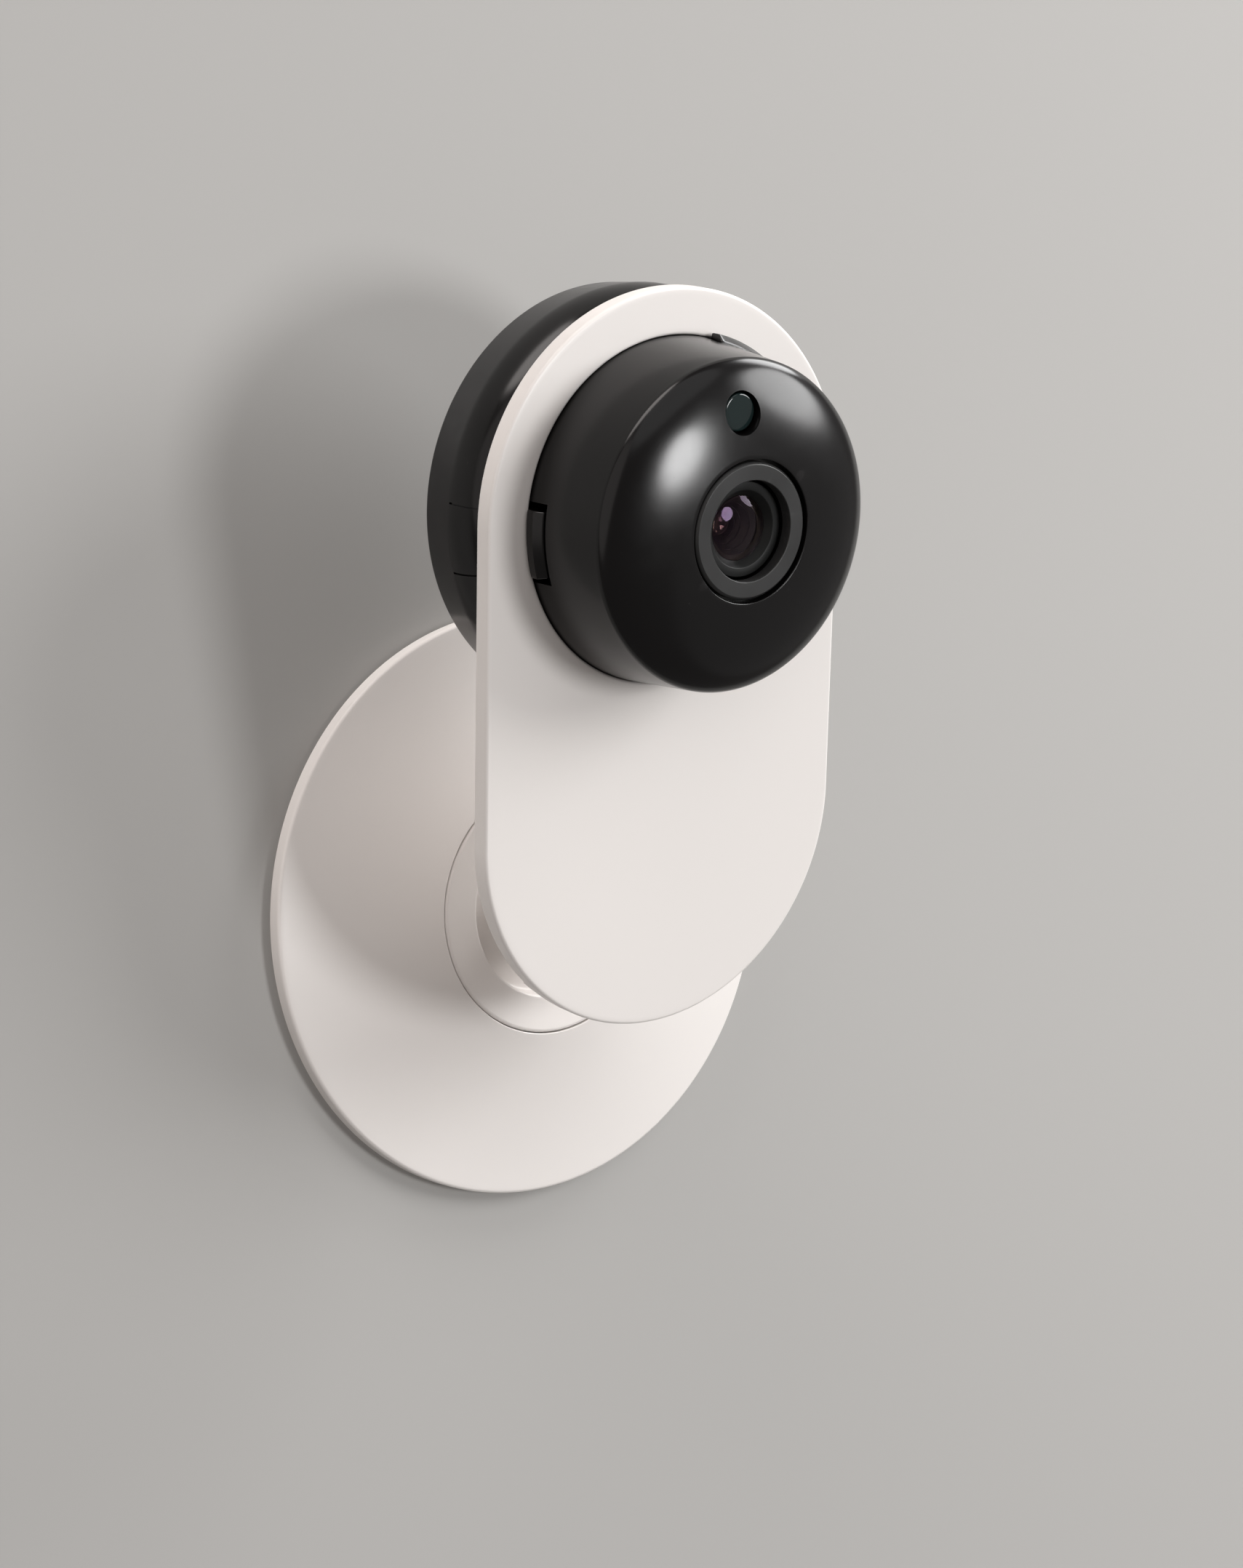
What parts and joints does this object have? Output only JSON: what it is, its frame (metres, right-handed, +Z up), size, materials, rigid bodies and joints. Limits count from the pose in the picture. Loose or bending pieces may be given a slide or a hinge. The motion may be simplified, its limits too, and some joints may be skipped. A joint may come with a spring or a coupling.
{
  "type": "home security camera",
  "caption": "Round camera head in a slim upright plate that swivels and tilts on a round base",
  "frame": {"origin": "middle of the base's flat back face, where it meets the wall", "axes": "+Y into the wall, so the lens looks along -Y at rest; +Z up along the plate; +X to the right seen from the front"},
  "size_m": [0.08, 0.0583, 0.1226],
  "materials": {
    "white_plastic": "smooth satin moulded plastic",
    "black_plastic": "smooth glossy moulded plastic",
    "black_matte": "fine matt moulded plastic",
    "ring_grey": "satin dark grey plastic",
    "lens_tube": "black anodised",
    "lens_glass": "coated optical glass",
    "filter_glass": "coated flat glass",
    "window_dark": "dark infrared window",
    "steel": "plain steel",
    "washer_plastic": "plain low friction plastic",
    "rubber": "matt grip pad",
    "board": "circuit board with solder mask",
    "parts_dark": "moulded electronic part",
    "tin": "tinned sheet metal",
    "film": "flexible circuit film"
  },
  "bodies": {
    "base": {"base_disc": "white_plastic", "base_cover": "white_plastic", "base_cover_screws": "steel", "base_pad": "rubber", "base_weight": "steel"},
    "swivel": {"turntable": "white_plastic", "swivel_retainer": "black_matte", "swivel_screws": "steel", "swivel_washer": "washer_plastic", "hinge_bolt": "steel", "hinge_nut": "steel", "hinge_washers": "washer_plastic"},
    "holder": {"holder_plate": "white_plastic", "hinge_arm": "white_plastic", "arm_screws": "steel"},
    "reset_key": {"reset_button": "black_matte"},
    "ir_filter": {"filter_slider": "black_matte", "day_pane": "filter_glass", "night_pane": "filter_glass"},
    "camera": {"front_shell": "black_plastic", "rear_housing": "black_plastic", "rear_cover": "black_matte", "rear_cover_screws": "steel", "shell_screws": "steel", "lens_bezel": "ring_grey", "lens_barrel": "lens_tube", "front_lens": "lens_glass", "rear_lens": "lens_glass", "lens_holder": "black_matte", "filter_coil": "parts_dark", "image_sensor": "parts_dark", "sensor_board": "board", "night_window": "window_dark", "night_led": "parts_dark", "microphone": "tin", "flex_cable": "film", "flex_connectors": "parts_dark", "main_board": "board", "shield_can": "tin", "antenna": "washer_plastic", "card_socket": "tin", "usb_socket": "tin", "reset_switch": "parts_dark", "speaker": "parts_dark"}
  },
  "joints": [
    {"name": "base_swivel", "type": "hinge", "parent": "base", "child": "swivel", "pos_m": [0, 0, 0], "axis": [0, -1, 0], "continuous": true},
    {"name": "arm_tilt", "type": "hinge", "parent": "swivel", "child": "holder", "pos_m": [0, -0.0195, 0], "axis": [1, 0, 0], "range_deg": [-9.58, 80.42]},
    {"name": "camera_roll", "type": "hinge", "parent": "holder", "child": "camera", "pos_m": [0, -0.04091, 0.05374], "axis": [0, -0.9861, -0.1664], "continuous": true},
    {"name": "reset_press", "type": "slide", "parent": "camera", "child": "reset_key", "axis": [0, -0.9861, -0.1664], "range_m": [0, 0.0005], "stiffness_N_per_m": 600, "springref_m": -0.0005},
    {"name": "filter_shift", "type": "slide", "parent": "camera", "child": "ir_filter", "axis": [-0.9966, 0.0136, -0.0808], "range_m": [0, 0.0066]}
  ]
}
